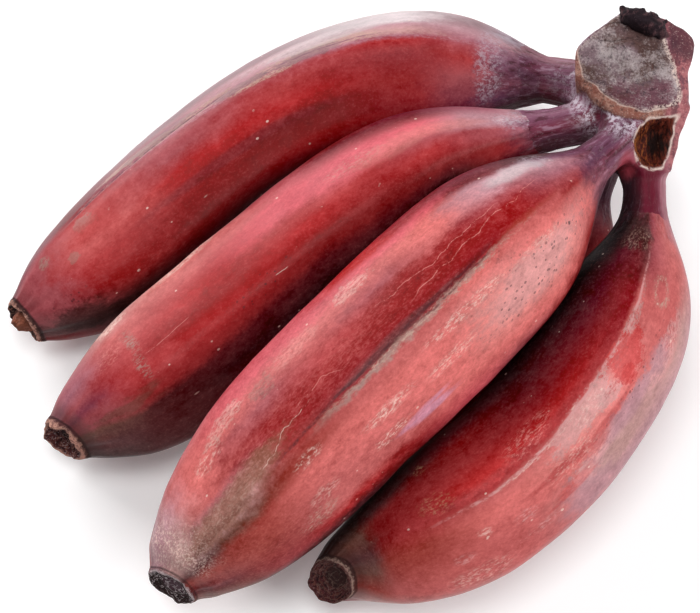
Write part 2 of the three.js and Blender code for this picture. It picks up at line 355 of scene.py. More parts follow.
peels = {}
for name, banana in bananas.items():
    points, faces, marks = makePeel(banana, blossoms[name])
    piece = makePiece("peel_" + name[-1], points, faces, marks)
    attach(piece, "root")
    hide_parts(name)
    peels[name] = piece
print("peels made,", sum(len(piece.data.polygons) for piece in peels.values()), "faces,",
      round(time.time() - begun, 1), "s")


# The crown's block has its own axes: u to the right, v up the slope, h out of the cut face. Reaches are
# given every 30 degrees from u: of the cut face, of the wall where the rim's slope ends, and of the block
# at some heights below. Rounds are the widths of its rounded edges: of the cut face, the wall, the foot, the
# stub's side and its end. The dish of the face is so deep, flat to one share of its outline and level at
# another. Only places this near a stem's path are measured, the others count as away; thick is the layer
# either side of the surface that is worked out finely, room what the lattice gets beside the CAD box.
crown = {
    "at": (80.3, 58.5, 50.1), "tilt": -14.5, "core": (80.3, 56.5, 35.1), "dish": (2.4, 0.05, 1.02),
    "cut": (13.6, 13.4, 16, 17, 14.8, 15.4, 12.6, 9.4, 8.8, 9.9, 12.8, 16.4), "slope": 2.2,
    "levels": [
        (-2.2, (17.8, 22, 20.2, 18.2, 15.8, 16.2, 14.8, 13, 12.6, 14, 16.2, 19.4)),
        (-6, (17, 20, 18.6, 16.2, 14.2, 14, 14.2, 14, 14.4, 16, 18.6, 19.6)),
        (-11, (16.2, 18, 17, 15, 13.2, 13, 14, 15.4, 17, 19, 20, 20)),
        (-18, (14, 14, 14, 13, 12.2, 12.6, 13.6, 15.2, 17, 18.5, 18.8, 18.2)),
        (-26, (8, 8, 8, 8, 8, 9, 9.6, 11, 12.2, 12.6, 12.2, 11)),
    ],
    "remnant": (4.5, 14.2, 1.2), "remnantTurn": -26, "remnantRadii": (6, 3.5, 4),
    "voxel": 0.42, "coarse": 4, "margin": 3, "fillet": 2.4, "rounds": (0.5, 1.5, 3, 0.9, 1),
    "near": 16, "away": 20.0, "thick": 1.3, "room": (9, 9, 4),
}
# The crown's unevenness: how high in millimetres, how wide, seed and layers.
crownRelief = {
    "outline": (0.9, 5, 31, 3), "leather": (0.9, 8, 41, 3), "grain": (0.3, 1.9, 45, 2),
    "slope": (0.5, 2.4, 47, 3), "skin": (0.45, 6, 51, 3), "hollow": (0.9, 2.6, 61, 2),
    "torn": (2.4, 1.5, 64, 3), "remnant": (2.7, 4.6, 71, 3), "lip": (0.9, 3, 81, 3),
}
# The torn stub of a lost banana: its own axes are right, up and aim, and its section is an oval that leans
# and is cut straight along its right side, with a rounded corner.
stub = {
    "at": (87.3, 38.5, 42.6), "aim": (0.16, -0.42, 0.89), "middle": (0.4, 0.9),
    "outside": (7.6, 8.6), "inside": (6.1, 7), "straight": (0.956, -0.295), "outsideEdge": 7,
    "insideEdge": 4.3, "lean": 0.14, "corner": 0.8, "taper": 0.1, "long": 15, "depth": 4.6, "steep": 3.2,
}
sleeve = {"long": 13, "proud": 0.35, "sunk": -0.35, "flare": 3.4, "flarePower": 1.6, "steps": 14}

tilt = math.radians(crown["tilt"])
crownAxes = np.array([(1, 0, 0), (0, math.cos(tilt), -math.sin(tilt)), (0, math.sin(tilt), math.cos(tilt))])
aim = np.array(stub["aim"]) / np.linalg.norm(stub["aim"])
across = np.array([1, 0, 0]) - aim * aim[0]
across /= np.linalg.norm(across)
stubAxes = np.stack([across, np.cross(aim, across), aim])


# The block's reach at an angle and height: read round each given level, then between the levels.
def blockReach(angle, height):
    heights = np.array([level[0] for level in crown["levels"]])[::-1]
    reaches = np.stack([readRound(level[1], angle) for level in crown["levels"]])[::-1]
    rung = np.interp(height, heights, np.arange(len(heights)))
    low = np.minimum(rung.astype(int), len(heights) - 2)
    lift = rung - low
    spot = np.arange(len(angle))
    return reaches[low, spot] * (1 - lift) + reaches[low + 1, spot] * lift


# One stem's way from the core: a curve core - behind - mouth, then on along the banana's own spine. Each
# station keeps its directions, its distance along the banana and how far the skin stands off the peel,
# which falls from proud to sunk so that the peel comes out through it in a clean ring.
def stemPath(banana):
    line = banana["line"]
    end = banana["socket"] * line["length"]
    mouth, forward, up, right = (found[0] for found in stationAt(line, np.array([end])))
    core = np.array(crown["core"])
    t = np.linspace(0, 1, sleeve["steps"])[:, None]
    root = (1 - t) ** 2 * core + 2 * t * (1 - t) * (mouth - forward * end) + t ** 2 * mouth
    beyond = np.linspace(0, sleeve["long"], sleeve["steps"])[1:]
    point, _, ups, rights = stationAt(line, end + beyond)
    still = np.ones((sleeve["steps"], 1))
    fall = ease(0, sleeve["long"], beyond)
    return {
        "path": np.concatenate([root, point]), "up": np.concatenate([still * up, ups]),
        "right": np.concatenate([still * right, rights]),
        "far": np.r_[np.full(sleeve["steps"], end), end + beyond],
        "off": np.r_[sleeve["proud"] + sleeve["flare"] * (1 - t[:, 0]) ** sleeve["flarePower"],
                     sleeve["proud"] + (sleeve["sunk"] - sleeve["proud"]) * fall],
    }


# Distance to one stem's skin, for the points near it: from the nearest place on its path, less the
# peel's reach there and the stand-off. The marks are the angle from the main ridge, the distance along
# the banana and the place on the unrolled banana.
def stemDistance(points, banana, wantMarks=False):
    stem = banana["stemPath"]
    path = stem["path"]
    away = np.full(len(points), crown["away"])
    low, high = path.min(0) - crown["near"], path.max(0) + crown["near"]
    near = np.flatnonzero(((points > low) & (points < high)).all(axis=1))
    spots = points[near]
    best = np.full(len(near), 1e6)
    place = np.zeros(len(near))
    for index, (a, b) in enumerate(zip(path[:-1], path[1:])):
        span = b - a
        t = np.clip((spots - a) @ span / (span @ span), 0, 1)
        gap = ((spots - a - t[:, None] * span) ** 2).sum(axis=1)
        closer = gap < best
        best = np.where(closer, gap, best)
        place = np.where(closer, index + t, place)
    steps = np.arange(len(path))
    point, up, right = (between(place, steps, stem[name]) for name in ("path", "up", "right"))
    far = np.interp(place, steps, stem["far"])
    offset = spots - point
    around = np.arctan2((offset * right).sum(axis=1), (offset * up).sum(axis=1))
    reach, side, straight = peelReach(banana, around, far)
    away[near] = np.sqrt(best) - reach - np.interp(place, steps, stem["off"])
    if not wantMarks:
        return away
    marks = np.zeros((len(points), 7))
    along = np.r_[0, np.cumsum(np.linalg.norm(np.diff(path, axis=0), axis=1))]
    walked = np.interp(place, steps, along) - along[sleeve["steps"] - 1] + stem["far"][0]
    straight[:, 2] = walked
    marks[near] = np.column_stack([np.sin(side), np.cos(side), walked / banana["line"]["length"],
                                   straight + (banana["seed"], 0, 0), np.ones(len(near))])
    return away, marks


# Distance to the stub's section, an oval on the left and straight on the right, at a size and edge given.
def stubSection(place, radii, edge):
    offset = place[:, :2] - np.array(stub["middle"])
    left = np.minimum(offset[:, 0], 0) / radii[0]
    tall = (offset[:, 1] - stub["lean"] * offset[:, 0]) / radii[1]
    oval = (np.hypot(left, tall) - 1) * min(radii)
    return trimmed(oval, place[:, :2] @ np.array(stub["straight"]) - edge, stub["corner"])


# One of the crown's named unevennesses: its height times the rough values of its width.
def uneven(name, points):
    high, size, seed, layers = crownRelief[name]
    return high * rough(points, size, seed, layers)


# Signed distance to the crown, below zero inside: the block under its dished cut face and sloping rim,
# joined to the stems and the stub, with the dried remnant on top and the stub's torn hollow taken out.
# The edges are the distances to the cut face's outline, the remnant and the hollow's outline.
def crownDistance(points, wantEdges=False):
    local = (points - np.array(crown["at"])) @ crownAxes.T
    angle = np.arctan2(local[:, 1], local[:, 0])
    out = np.hypot(local[:, 0], local[:, 1])
    h = local[:, 2]
    cut = readRound(crown["cut"], angle) + uneven("outline", local)
    wall = blockReach(angle, h)
    width = np.maximum(readRound(crown["levels"][0][1], angle) - cut, 0.5)
    slope = ((out - cut) * crown["slope"] + h * width) / np.hypot(width, crown["slope"])
    deep, flat, edge = crown["dish"]
    dish = deep * (1 - ease(flat, edge, out / cut))
    leather = uneven("leather", local) + uneven("grain", local)
    faceRound, wallRound, footRound, sideRound, endRound = crown["rounds"]
    top = trimmed(h + dish - leather, slope - uneven("slope", local), faceRound)
    body = trimmed(trimmed(top, out - wall, wallRound), crown["levels"][-1][0] - h, footRound)
    for banana in bananas.values():
        body = joined(body, stemDistance(points, banana), crown["fillet"])
    place = (points - np.array(stub["at"])) @ stubAxes.T
    section = stubSection(place, stub["outside"], stub["outsideEdge"])
    lip = place[:, 2] - uneven("lip", points)
    torso = trimmed(lip, -place[:, 2] - stub["long"], endRound)
    torso = trimmed(section + stub["taper"] * place[:, 2], torso, sideRound)
    body = joined(body, torso, crown["fillet"])
    body = body + uneven("skin", points)
    hollow = stubSection(place, stub["inside"], stub["insideEdge"]) + uneven("hollow", points)
    fibres = uneven("torn", place * (1.5, 0.35, 0.5)) * ease(0, 1, -hollow)
    bowl = np.where(hollow < 0, -stub["depth"] * ease(0, stub["steep"], -hollow), hollow * 1.6) + fibres
    body = trimmed(body, (place[:, 2] - bowl) * 0.75, 0.3)
    turn = math.radians(crown["remnantTurn"])
    lump = local - np.array(crown["remnant"])
    lump = np.stack([lump[:, 0] * math.cos(turn) + lump[:, 1] * math.sin(turn),
                     lump[:, 1] * math.cos(turn) - lump[:, 0] * math.sin(turn), lump[:, 2]], axis=1)
    radii = np.array(crown["remnantRadii"])
    remnant = (np.linalg.norm(lump / radii, axis=1) - 1) * radii.min() * 0.85
    remnant = remnant + uneven("remnant", points)
    body = joined(body, remnant, 0.5)
    if not wantEdges:
        return body
    return body, {"cutEdge": cut - out, "charEdge": remnant, "scarEdge": hollow}


# Values of a coarse lattice read linearly between its points, along each axis in turn.
def refined(values, ratio):
    for axis in range(3):
        values = np.moveaxis(values, axis, 0)
        t = (np.arange(ratio) / ratio).reshape(1, ratio, 1, 1)
        values = (values[:-1, None] * (1 - t) + values[1:, None] * t).reshape(-1, *values.shape[1:])
        values = np.moveaxis(values, 0, axis)
    return values


# The crown's surface: distances on a coarse lattice find the places near it, only those are worked out
# finely, and the lattice's zero level becomes quads.
def makeCrown():
    voxel, ratio = crown["voxel"], crown["coarse"]
    low, high = (np.array(corner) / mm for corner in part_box("crown"))
    low = low - crown["margin"] - np.array(crown["room"])
    high = high + crown["margin"]
    axes = [np.arange(low[k], high[k] + voxel * ratio, voxel * ratio) for k in range(3)]
    lattice = np.stack(np.meshgrid(*axes, indexing="ij"), axis=-1)
    coarse = crownDistance(lattice.reshape(-1, 3)).reshape(lattice.shape[:3])
    field = np.ascontiguousarray(refined(coarse, ratio), np.float32)
    spots = np.argwhere(np.abs(field) < crown["thick"])
    print("crown lattice,", len(spots), "near places,", round(time.time() - begun, 1), "s")
    field[tuple(spots.T)] = crownDistance(low + spots * voxel)
    grid = openvdb.FloatGrid(float(field.max()))
    grid.copyFromArray(field)
    points, quads = grid.convertToQuads(0.0)
    points = low + np.array(points, float) * voxel
    quads = np.array(quads, int)
    corner = points[quads]
    volume = (corner[:, 0] * np.cross(corner[:, 2] - corner[:, 0], corner[:, 3] - corner[:, 1])).sum()
    if volume < 0:
        quads = quads[:, ::-1]
    return points, quads


for banana in bananas.values():
    banana["stemPath"] = stemPath(banana)
points, quads = makeCrown()
nearest = np.full(len(points), 1e3)
stemMarks = np.zeros((len(points), 7))
owner = np.full(len(points), -1.0)
for banana in bananas.values():
    away, found = stemDistance(points, banana, wantMarks=True)
    closer = (away < nearest) & (found[:, 6] > 0)
    nearest = np.where(closer, away, nearest)
    owner[closer] = banana["seed"] / 100
    stemMarks[closer] = found[closer]
_, edges = crownDistance(points, wantEdges=True)
local = (points - np.array(crown["at"])) @ crownAxes.T
found = stemMarks[:, 6:] > 0
marks = {"straight": np.where(found, stemMarks[:, 3:6], local) / 10, "rose": stemMarks[:, :3], "owner": owner,
         "place": local / 10, "torn": (points - np.array(stub["at"])) @ stubAxes.T / 10, **edges}
crownPiece = makePiece("crown_cushion", points, (quads,), marks)
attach(crownPiece, "root")
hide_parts("crown")
print("crown made,", len(quads), "faces,", round(time.time() - begun, 1), "s")


# A socket whose arithmetic adds Math nodes to its own material.
class Wire:
    def __init__(self, board, socket):
        self.board = board
        self.socket = socket

    def __add__(self, other):
        return self.board.maths("ADD", self, other)

    def __radd__(self, other):
        return self.board.maths("ADD", other, self)

    def __sub__(self, other):
        return self.board.maths("SUBTRACT", self, other)

    def __rsub__(self, other):
        return self.board.maths("SUBTRACT", other, self)

    def __mul__(self, other):
        return self.board.maths("MULTIPLY", self, other)

    def __rmul__(self, other):
        return self.board.maths("MULTIPLY", other, self)

    def __abs__(self):
        return self.board.maths("ABSOLUTE", self)

    # A noise's swing either side of nought, times an amount.
    def sway(self, amount):
        return (self - 0.5) * amount


# One material's nodes.
class Board:
    def __init__(self, name):
        self.material = bpy.data.materials.new(name)
        self.material.use_nodes = True
        self.tree = self.material.node_tree
        self.shader = self.tree.nodes["Principled BSDF"]

    # Adds a node: its settings go first, then the values or links of its sockets.
    def node(self, kind, settings, sockets):
        made = self.tree.nodes.new(kind)
        for setting, value in settings.items():
            setattr(made, setting, value)
        self.feed(made, sockets)
        return made

    # Feeds a node's sockets: wires by link, other values as constants.
    def feed(self, node, sockets):
        for key, value in sockets.items():
            if isinstance(value, Wire):
                self.tree.links.new(value.socket, node.inputs[key])
            else:
                node.inputs[key].default_value = value

    def maths(self, operation, *values):
        made = self.node("ShaderNodeMath", {"operation": operation}, dict(enumerate(values)))
        return Wire(self, made.outputs[0])

    def vector(self, operation, *values, output="Vector"):
        made = self.node("ShaderNodeVectorMath", {"operation": operation}, dict(enumerate(values)))
        return Wire(self, made.outputs[output])

    def mark(self, name, output="Fac"):
        return Wire(self, self.node("ShaderNodeAttribute", {"attribute_name": name}, {}).outputs[output])

    def length(self, vector):
        return self.vector("LENGTH", vector, output="Value")

    def parts(self, vector):
        made = self.node("ShaderNodeSeparateXYZ", {}, {0: vector})
        return [Wire(self, output) for output in made.outputs]

    # The angle from the main ridge in degrees and the share of the length, from the rose mark.
    def rose(self):
        sine, cosine, share = self.parts(self.mark("rose", "Vector"))
        return self.maths("ARCTAN2", sine, cosine) * (180 / math.pi), share

    def together(self, *numbers):
        made = self.node("ShaderNodeCombineXYZ", {}, dict(enumerate(numbers)))
        return Wire(self, made.outputs[0])

    # Goes from 0 at low to top at high with a flat start and end; low may be the larger of the two.
    def ease(self, low, high, value, top=1):
        made = self.node("ShaderNodeMapRange", {"interpolation_type": "SMOOTHSTEP"},
                         {"Value": value, "From Min": low, "From Max": high, "To Max": top})
        return Wire(self, made.outputs["Result"])

    # A place stretched, small factors drawing out what is read there, and shifted to another stretch of it.
    def moved(self, place, stretch, shift):
        return self.vector("MULTIPLY_ADD", place, stretch, (shift, shift * 1.7, shift * 2.3))

    # Noise from 0 to 1, so many swells to the centimetre.
    def noise(self, place, scale, detail=3, roughness=0.6, stretch=(1, 1, 1), shift=0):
        place = self.moved(place, stretch, shift)
        made = self.node("ShaderNodeTexNoise", {}, {"Vector": place, "Scale": scale, "Detail": detail,
                                                    "Roughness": roughness})
        return Wire(self, made.outputs["Fac"])

    # Dots up to a radius in cells, in so large a share of the cells, from 0 outside to 1 inside, with
    # an uneven edge where a noise is given.
    def dots(self, place, scale, radius, share, stretch=(1, 1, 1), shift=0, uneven=0):
        place = self.moved(place, stretch, shift)
        made = self.node("ShaderNodeTexVoronoi", {}, {"Vector": place, "Scale": scale})
        chance = self.parts(Wire(self, made.outputs["Color"]))[0]
        size = self.ease(1 - share, 1, chance, radius)
        return self.ease(0, 0.06, size - Wire(self, made.outputs["Distance"]) + uneven)

    # Goes through the skin's colours at given degrees round the section, straight from one to the next.
    def round(self, degrees, band, widest=130):
        made = self.node("ShaderNodeValToRGB", {}, {0: (degrees + widest) * (0.5 / widest)})
        steps = made.color_ramp.elements
        stops = [stop.split() for stop in band.split(", ")]
        for stop in stops[2:]:
            steps.new((float(stop[0]) + widest) / widest * 0.5)
        for step, (angle, name) in zip(steps, stops):
            step.position = (float(angle) + widest) / widest * 0.5
            step.color = skin[name]
        return Wire(self, made.outputs["Color"])

    # Lays a colour over another by an amount from 0 to 1.
    def over(self, under, colour, amount):
        made = self.node("ShaderNodeMix", {"data_type": "RGBA"}, {0: amount, 6: under, 7: colour})
        return Wire(self, made.outputs[2])

    # Lays a colour over another as a value goes from low to high, up to a top amount.
    def fade(self, under, colour, low, high, value, top=1):
        return self.over(under, colour, self.ease(low, high, value, top))

    # Lays a look's colours over its first one after another: rows of name, low, high, value, top amount.
    def layers(self, look, first, rows):
        colour = look[first]
        for name, *amount in rows:
            colour = self.fade(colour, look[name], *amount)
        return colour

    # Feeds the shader its colour, roughness, relief and gloss.
    def finish(self, colour, roughness, height, reliefMm, gloss):
        bump = self.node("ShaderNodeBump", {}, {"Height": height, "Distance": reliefMm * mm, "Strength": 1})
        self.feed(self.shader, {"Base Color": colour, "Roughness": roughness, "Specular IOR Level": gloss,
                                "Normal": Wire(self, bump.outputs["Normal"])})
        return self.material


# Colours given as screen values from 0 to 255, as the light that the shader mixes: the usual screen curve.
def screenColours(table):
    made = {}
    for name, shade in table.items():
        screen = np.array(shade) / 255
        light = np.where(screen < 0.04045, screen / 12.92, ((screen + 0.055) / 1.055) ** 2.4)
        made[name] = (*light.tolist(), 1)
    return made


skin = screenColours({
    "black": (24, 10, 14), "dusk": (60, 12, 20), "blood": (112, 6, 10), "maroon": (104, 28, 36),
    "wine": (100, 12, 34), "berry": (116, 46, 62), "deep": (136, 6, 8), "crimson": (132, 18, 28),
    "red": (144, 28, 30), "scarlet": (164, 14, 18), "bright": (162, 46, 48), "fire": (196, 48, 48),
    "rose": (154, 70, 76), "brick": (154, 58, 50), "pink": (196, 78, 88), "coral": (186, 90, 88),
    "salmon": (210, 106, 102), "peach": (212, 130, 124), "mauve": (152, 90, 102), "orchid": (146, 100, 118),
    "lilac": (178, 130, 138), "pale": (204, 188, 190), "ash": (138, 106, 112), "greyRose": (184, 138, 134),
    "plum": (114, 66, 88), "plumMid": (96, 58, 80), "plumDark": (82, 46, 60), "bloom": (178, 160, 170),
    "rust": (150, 84, 62), "tan": (214, 158, 140), "olive": (116, 70, 60), "oliveDark": (56, 34, 32),
    "umber": (92, 42, 44), "heather": (180, 144, 164), "beige": (182, 148, 134), "cream": (228, 196, 184),
    "sand": (190, 136, 108), "mote": (44, 22, 26), "iris": (204, 146, 170), "grey": (150, 118, 110),
    "blush": (204, 94, 104), "shell": (206, 150, 148), "khaki": (150, 100, 84),
})

# How each peel differs. Bands give, at so large a share of the length, the colours round the section:
# degrees from the main ridge and colour; two stops close together make the sharp change at a ridge. The
# bands also hold painted light and shade: near-black and dusky stops on the sides towards a neighbour are
# painted shadow in the gaps, pale upper flanks are painted sheen over the skin's own bloom and scuffs, and
# lighter coral, salmon and peach faces beside darker crimson ones across a ridge are partly the skin's own
# colour, partly painted lit and shaded faces.
# Spots lie on the skin one over another: share of the length, degrees, half their length (share), half
# their width (degrees), colour, amount, and kind: soft, cloudy, streaky, speckled, patch (with a crisp
# edge) or worn (a patch rubbed through). Lines are thin and wavy: share, degrees, slope (degrees for the
# whole length), half their length, half their width, colour, how far they wander. Ring is a pale oval
# mark: share, degrees, half its length, half its width. The scar is the blossom end: its rim's colour and
# share of its width, its inside, and how strong its rings, veins, dark collar, dulled skin and pale specks
# are. Motes are dark specks and bloom is the powder on the shoulder: share, degrees, half its length, half
# its width. Stem is how much of the stems' own skin shows on the neck, lined how clear its lines are.
# Under is the colour of the hidden side and the degrees where it starts on either side; grain is the
# strength of the mottling.
peelLooks = {
    "banana_1": {
        # painted shade: dusk stops on the side towards banana_2; painted sheen, over real bloom: the pale
        # upper flank
        "bands": [
            (0.07, "-70 dusk, -42 plumDark, -12 plumMid, 8 plum, 22 orchid, 36 lilac"),
            (0.13, "-84 dusk, -62 plumMid, -40 berry, -14 plum, 4 orchid, 30 lilac, 48 bloom"),
            (0.19, "-95 maroon, -66 berry, -30 rose, -12 bright, 2 rose, 12 mauve, 24 lilac, 48 ash"),
            (0.3, "-76 dusk, -62 crimson, -35 red, -12 crimson, -1 bright, 5 mauve, 12 greyRose, 24 lilac, "
                  "32 pale"),
            (0.5, "-92 dusk, -76 crimson, -60 deep, -46 blood, -26 scarlet, -10 bright, 1 rose, 5 mauve, "
                  "18 lilac, 34 lilac, 44 ash"),
            (0.7, "-95 maroon, -72 blood, -45 deep, -25 scarlet, -12 rose, 2 rose, 10 mauve, 26 mauve, "
                  "42 ash"),
            (0.85, "-92 umber, -66 deep, -42 bright, -26 coral, -8 coral, 2 bright, 16 maroon, 40 maroon"),
            (0.96, "-98 umber, -82 rose, -40 rose, 0 rose, 16 berry, 40 wine"),
        ],
        "spots": [
            (0.45, 7, 0.34, 5, "lilac", 0.6, "speckled"), (0.38, 13, 0.06, 7, "beige", 0.8, "worn"),
            (0.44, 13, 0.06, 5, "beige", 0.8, "worn"), (0.51, 6, 0.05, 5, "beige", 0.8, "worn"),
            (0.61, 16, 0.05, 6, "beige", 0.8, "worn"), (0.5, 9, 0.25, 4, "greyRose", 0.6, "worn"),
            (0.73, 20, 0.05, 5, "beige", 0.7, "patch"), (0.67, 13, 0.04, 4, "beige", 0.7, "worn"),
            (0.42, 30, 0.1, 12, "pale", 0.6, "cloudy"), (0.6, 30, 0.2, 14, "grey", 0.5, "speckled"),
            (0.84, -6, 0.02, 7, "grey", 0.5, "patch"), (0.885, -25, 0.012, 5, "grey", 0.7, "patch"),
            (0.43, 8, 0.05, 5, "ash", 0.6, "patch"), (0.55, 9, 0.04, 4, "ash", 0.6, "patch"),
            (0.67, 19, 0.06, 6, "ash", 0.5, "patch"), (0.93, -8, 0.012, 6, "grey", 0.8, "worn"),
            (0.6, -40, 0.18, 5, "maroon", 0.5, "soft"), (0.8, -14, 0.1, 12, "bright", 0.5, "cloudy"),
            (0.86, -30, 0.08, 26, "fire", 0.25, "cloudy"),
            (0.94, -92, 0.08, 20, "oliveDark", 0.8, "cloudy"), (0.44, -66, 0.14, 7, "scarlet", 0.4, "soft"),
        ],
        "lines": [(0.71, 11, -22, 0.17, 1.5, "plumDark", 2), (0.4, 10, 0, 0.1, 0.8, "plum", 3)],
        "scar": {"rim": "tan", "wide": 0.26, "inside": "oliveDark", "light": "rust", "plug": "rust",
                 "rings": 0.1, "veins": 0.2, "collar": 0.9, "dull": 0.3, "specks": 0.1},
        "motes": (0.93, -60, 0.03, 8), "bloom": (0.155, 0, 0.022, 56), "stem": 0.5, "lined": 0.8,
        "under": ("crimson", 58, -108), "grain": 1,
    },
    "banana_2": {
        # painted shade: black and dusk stops towards banana_3, maroon to blood at the edge by banana_1;
        # painted sheen: the blush, pink and lilac upper flank
        "bands": [
            (0.07, "-48 oliveDark, -26 plumDark, -10 wine, 8 wine, 28 plum, 46 orchid, 80 plum"),
            (0.13, "-80 dusk, -54 maroon, -28 berry, -4 berry, 8 mauve, 26 orchid, 44 lilac, 70 lilac"),
            (0.19, "-56 black, -40 maroon, -20 bright, -8 red, 6 rose, 18 rose, 30 lilac, 48 lilac, "
                   "64 mauve"),
            (0.3, "-24 black, -16 maroon, -8 red, 10 bright, 26 rose, 36 blush, 48 blush, 54 rose, "
                  "61 maroon, 70 wine"),
            (0.4, "-28 black, -16 maroon, -6 red, 10 red, 24 bright, 36 blush, 52 blush, 59 rose, "
                  "66 maroon, 76 blood"),
            (0.52, "-38 black, -26 dusk, -14 maroon, -6 red, 4 deep, 18 scarlet, 30 bright, 40 pink, "
                   "56 pink, 72 rose, 88 maroon"),
            (0.7, "-70 maroon, -34 dusk, -18 maroon, -10 bright, 2 scarlet, 20 deep, 38 scarlet, 50 bright, "
                  "60 coral, 72 peach, 95 greyRose"),
            (0.85, "-80 umber, -20 umber, -11 bright, 10 bright, 38 bright, 58 coral, 74 greyRose"),
            (0.96, "-80 oliveDark, -40 umber, -18 olive, -9 rose, 4 rose, 16 berry, 32 rose, 50 mauve, "
                   "85 rose"),
        ],
        "spots": [
            (0.4, 40, 0.05, 7, "beige", 0.6, "speckled"), (0.3, 34, 0.1, 10, "peach", 0.4, "cloudy"),
            (0.14, 36, 0.04, 14, "pale", 0.6, "speckled"), (0.69, 72, 0.05, 6, "cream", 0.7, "worn"),
            (0.84, 70, 0.03, 8, "cream", 0.7, "worn"), (0.83, 40, 0.014, 14, "grey", 0.8, "speckled"),
            (0.838, 14, 0.01, 12, "grey", 0.8, "speckled"), (0.87, 44, 0.03, 10, "peach", 0.4, "speckled"),
            (0.9, -8, 0.08, 5, "olive", 0.6, "streaky"), (0.62, 62, 0.1, 8, "coral", 0.5, "cloudy"),
        ],
        "lines": [(0.59, 0, 0, 0.012, 0.26, "cream", 2), (0.78, 20, 0, 0.05, 0.2, "peach", 2)],
        "scar": {"rim": "tan", "wide": 0.27, "inside": "umber", "light": "rust", "plug": "black",
                 "rings": 0.1, "veins": 0.3, "collar": 0.5, "dull": 0.6, "specks": 0.8},
        "motes": (0.62, 0, 0.08, 8), "bloom": (0.145, 34, 0.03, 26), "stem": 0.4, "lined": 0.8,
        "under": ("maroon", 92, -92), "grain": 1.1,
    },
    "banana_3": {
        # painted shade: black and dusk towards banana_4, dusk and wine by banana_2; painted light: the salmon
        # and peach right face, against darker crimson
        "bands": [
            (0.07, "-80 mauve, -45 mauve, -28 plum, -10 berry, 5 plumMid, 30 plumMid, 48 plum, "
                   "75 plumDark"),
            (0.13, "-85 dusk, -66 plumDark, -38 mauve, -18 berry, 8 plumMid, 28 mauve, 46 plum, "
                   "60 plumDark, 75 dusk"),
            (0.19, "-72 dusk, -60 red, -44 coral, -22 salmon, -10 coral, -2 red, 10 rose, 22 mauve, "
                   "40 lilac, 50 plum, 60 dusk"),
            (0.3, "-80 black, -70 red, -58 salmon, -42 peach, -20 peach, -8 salmon, 2 coral, 5 brick, "
                  "8 red, 22 red, 31 rose, 42 lilac, 52 lilac, 58 maroon, 66 wine"),
            (0.4, "-90 maroon, -70 rose, -55 salmon, -38 peach, -20 peach, 1 salmon, 3.5 grey, 6 crimson, "
                  "20 deep, 32 red, 40 coral, 54 salmon, 62 pink, 68 crimson, 84 wine"),
            (0.5, "-90 crimson, -68 pink, -52 salmon, -12 salmon, 0 coral, 3.5 grey, 6 crimson, 20 deep, "
                  "34 red, 43 rose, 54 coral, 63 pink, 68 scarlet, 92 crimson"),
            (0.62, "-78 black, -68 blood, -60 red, -50 coral, -12 salmon, 0 coral, 3 grey, 6 crimson, "
                   "24 deep, 36 bright, 54 coral, 64 pink, 92 rose"),
            (0.72, "-76 black, -66 dusk, -58 scarlet, -50 coral, -34 coral, -12 salmon, -5 brick, 12 red, "
                   "28 red, 42 rose, 53 coral, 64 pink, 92 rose"),
            (0.85, "-86 black, -72 dusk, -62 crimson, -30 brick, -10 brick, -2 olive, 10 greyRose, "
                   "20 mauve, 30 coral, 50 salmon, 68 coral, 92 lilac"),
            (0.96, "-70 olive, -45 maroon, -16 brick, -2 umber, 12 greyRose, 30 greyRose, 60 lilac, "
                   "92 ash"),
        ],
        "spots": [
            (0.24, 46, 0.06, 9, "pale", 0.6, "cloudy"), (0.53, 56, 0.03, 5, "cream", 0.35, "worn"),
            (0.63, 54, 0.04, 6, "peach", 0.6, "worn"), (0.7, 50, 0.02, 6, "grey", 0.4, "worn"),
            (0.76, 57, 0.04, 5, "cream", 0.35, "worn"), (0.82, 50, 0.03, 6, "cream", 0.5, "speckled"),
            (0.33, -28, 0.11, 16, "shell", 0.6, "cloudy"), (0.45, -10, 0.07, 4, "cream", 0.7, "speckled"),
            (0.31, -14, 0.05, 4, "cream", 0.4, "speckled"), (0.6, -23, 0.045, 5, "cream", 0.7, "speckled"),
            (0.5, -28, 0.05, 5, "cream", 0.5, "speckled"), (0.72, -6, 0.024, 4, "cream", 0.7, "speckled"),
            (0.74, -34, 0.025, 6, "cream", 0.5, "speckled"),
            (0.765, -46, 0.035, 7, "beige", 0.75, "speckled"),
            (0.56, -47, 0.045, 4, "iris", 0.7, "streaky"), (0.62, -40, 0.03, 4, "cream", 0.8, "speckled"),
            (0.86, 14, 0.12, 10, "khaki", 0.8, "cloudy"), (0.88, 10, 0.07, 4, "olive", 0.6, "streaky"),
            (0.84, 16, 0.1, 10, "beige", 0.45, "speckled"), (0.97, 40, 0.03, 50, "cream", 0.7, "speckled"),
            (0.95, 34, 0.045, 50, "cream", 0.4, "speckled"),
            (0.5, 3.5, 0.17, 2.6, "beige", 0.8, "speckled"), (0.52, 8, 0.12, 3, "umber", 0.7, "streaky"),
            (0.62, 24, 0.2, 14, "coral", 0.3, "speckled"),
        ],
        "lines": [(0.36, 21, -20, 0.14, 0.28, "peach", 6), (0.42, 28, 20, 0.12, 0.24, "peach", 9),
                  (0.72, 14, -60, 0.06, 0.2, "cream", 9), (0.64, 20, 60, 0.05, 0.2, "peach", 9),
                  (0.56, 7, -6, 0.22, 0.9, "dusk", 2), (0.45, 5.5, 0, 0.1, 0.5, "umber", 4)],
        "scar": {"rim": "pale", "wide": 0.17, "inside": "oliveDark", "light": "plumDark",
                 "plug": "plumDark", "rings": 0.2, "veins": 0.9, "collar": 0.05, "dull": 0.2,
                 "specks": 0.3},
        "motes": (0.31, -28, 0.15, 22), "bloom": (0.2, 50, 0.03, 14), "stem": 0.35, "lined": 0.8,
        "under": ("red", 80, -100), "grain": 1.6,
    },
    "banana_4": {
        # painted shade: dusk and black stops on the side towards banana_3; partly painted light: the paler
        # grey rose and coral outer face
